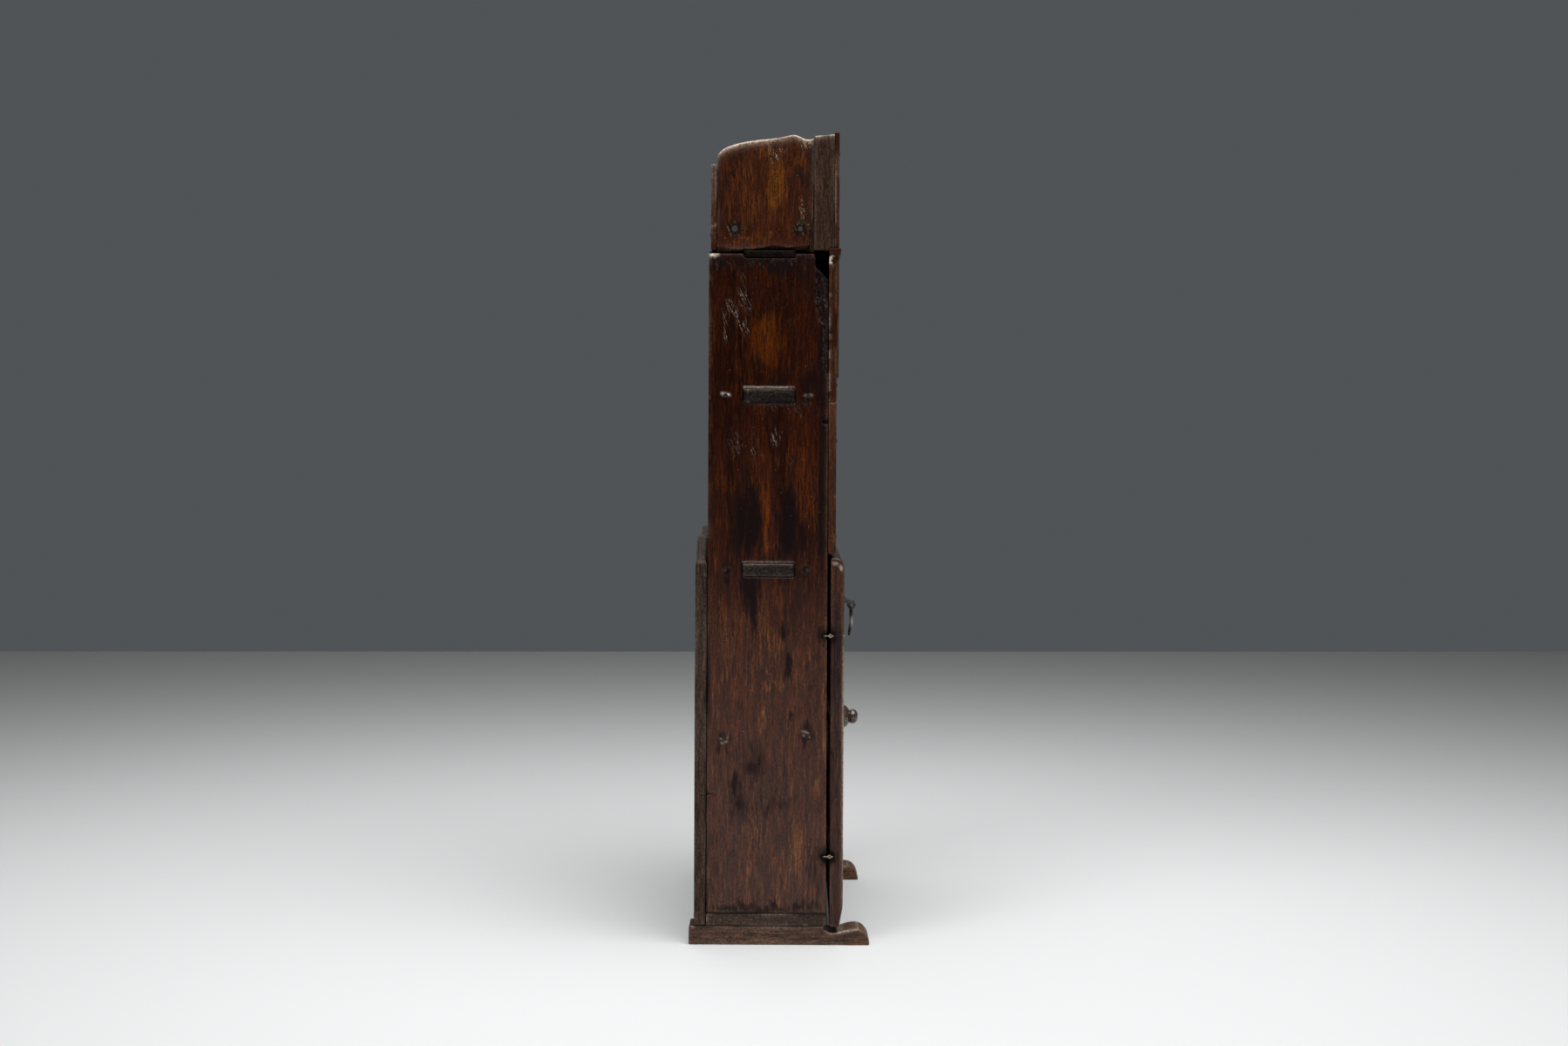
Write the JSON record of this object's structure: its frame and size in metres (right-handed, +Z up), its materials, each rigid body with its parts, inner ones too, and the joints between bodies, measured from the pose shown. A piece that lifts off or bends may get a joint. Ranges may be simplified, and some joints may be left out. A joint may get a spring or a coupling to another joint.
{
  "type": "tall shallow cabinet",
  "caption": "Tall shallow wooden cabinet on sled feet with a panelled lower door, an open niche, a small upper cupboard and an open gallery tray on top.",
  "frame": {"origin": "on the floor, under the middle of the overall box", "axes": "+Z up, -Y towards the front with the doors, +X to the right seen from the front"},
  "size_m": [0.6722, 0.357, 1.603],
  "materials": {
    "case_wood": "old waxed hardwood, worn satin, stained and scratched",
    "door_wood": "old waxed hardwood, worn satin",
    "panel_wood": "old waxed hardwood, worn satin",
    "gallery_wood": "warmer brown hardwood, rubbed satin",
    "grey_wood": "dry grey-brown hardwood with worm holes",
    "back_wood": "rough unfinished planks, weathered",
    "shelf_wood": "dry dark hardwood, rough end grain",
    "turned_wood": "turned hardwood, rubbed",
    "forged_iron": "dark forged iron, bright where it rubs",
    "hinge_wire": "dull yellowish wire"
  },
  "bodies": {
    "case": {"foot_left": "grey_wood", "side_board_left": "case_wood", "foot_right": "grey_wood", "side_board_right": "case_wood", "bottom_board": "grey_wood", "lower_shelf": "shelf_wood", "waist_shelf": "shelf_wood", "middle_shelf": "shelf_wood", "top_board": "shelf_wood", "back_plank_1": "back_wood", "back_plank_2": "back_wood", "back_plank_3": "back_wood", "back_plank_4": "back_wood", "back_plank_5": "back_wood", "upper_back_board_1": "back_wood", "upper_back_board_2": "back_wood", "upper_back_board_3": "back_wood", "niche_rail": "case_wood", "cupboard_rail": "case_wood", "face_stile_left_lower": "case_wood", "face_stile_left_upper": "case_wood", "face_stile_right_lower": "case_wood", "face_stile_right_upper": "case_wood", "top_rail": "gallery_wood", "gallery_cheek_left": "gallery_wood", "gallery_post_left": "grey_wood", "gallery_cheek_right": "gallery_wood", "gallery_post_right": "grey_wood", "gallery_back": "gallery_wood", "gallery_fascia": "gallery_wood", "gallery_cleats": "gallery_wood", "case_hinge_eyes": "hinge_wire", "latch_keeper": "turned_wood", "turn_button_nail": "forged_iron", "side_nails": "forged_iron", "face_nails": "forged_iron", "back_nails": "forged_iron", "foot_nails": "forged_iron", "gallery_nails": "forged_iron", "gallery_pegs": "gallery_wood"},
    "lower_door": {"lower_door_bottom_rail": "door_wood", "lower_door_mid_rail": "door_wood", "lower_door_top_rail": "door_wood", "lower_door_panel_1": "panel_wood", "lower_door_panel_2": "panel_wood", "lower_door_hinge_stile": "door_wood", "lower_door_lock_stile": "door_wood", "lower_door_pegs": "door_wood", "lower_door_hinge_eyes": "hinge_wire", "bail_eyes": "forged_iron"},
    "bail": {"bail_handle": "forged_iron"},
    "latch": {"knob": "turned_wood", "latch_tongue": "turned_wood"},
    "upper_door": {"upper_door_bottom_rail": "door_wood", "upper_door_top_rail": "door_wood", "upper_door_panel_1": "panel_wood", "upper_door_hinge_stile": "door_wood", "upper_door_lock_stile": "door_wood", "upper_door_pivots": "forged_iron"},
    "turn_button": {"turn_button": "turned_wood"}
  },
  "joints": [
    {"name": "lower_door_hinge", "type": "hinge", "parent": "case", "child": "lower_door", "pos_m": [-0.3323, -0.0958, 0.3915], "axis": [0, 0, -1], "range_deg": [-0.88, 99]},
    {"name": "bail_swing", "type": "hinge", "parent": "lower_door", "child": "bail", "pos_m": [0.27157, -0.16012, 0.6246], "axis": [-1, 0.007, 0], "range_deg": [0, 100]},
    {"name": "latch_turn", "type": "hinge", "parent": "lower_door", "child": "latch", "pos_m": [0.27178, -0.13002, 0.372], "axis": [-0.007, -1, 0], "range_deg": [0, 90]},
    {"name": "upper_door_hinge", "type": "hinge", "parent": "case", "child": "upper_door", "pos_m": [-0.263, -0.1033, 1.239], "axis": [0, 0, -1], "range_deg": [0, 92]},
    {"name": "button_turn", "type": "hinge", "parent": "case", "child": "turn_button", "pos_m": [0.2925, -0.1088, 1.24], "axis": [0, -1, 0], "range_deg": [0, 90]}
  ]
}
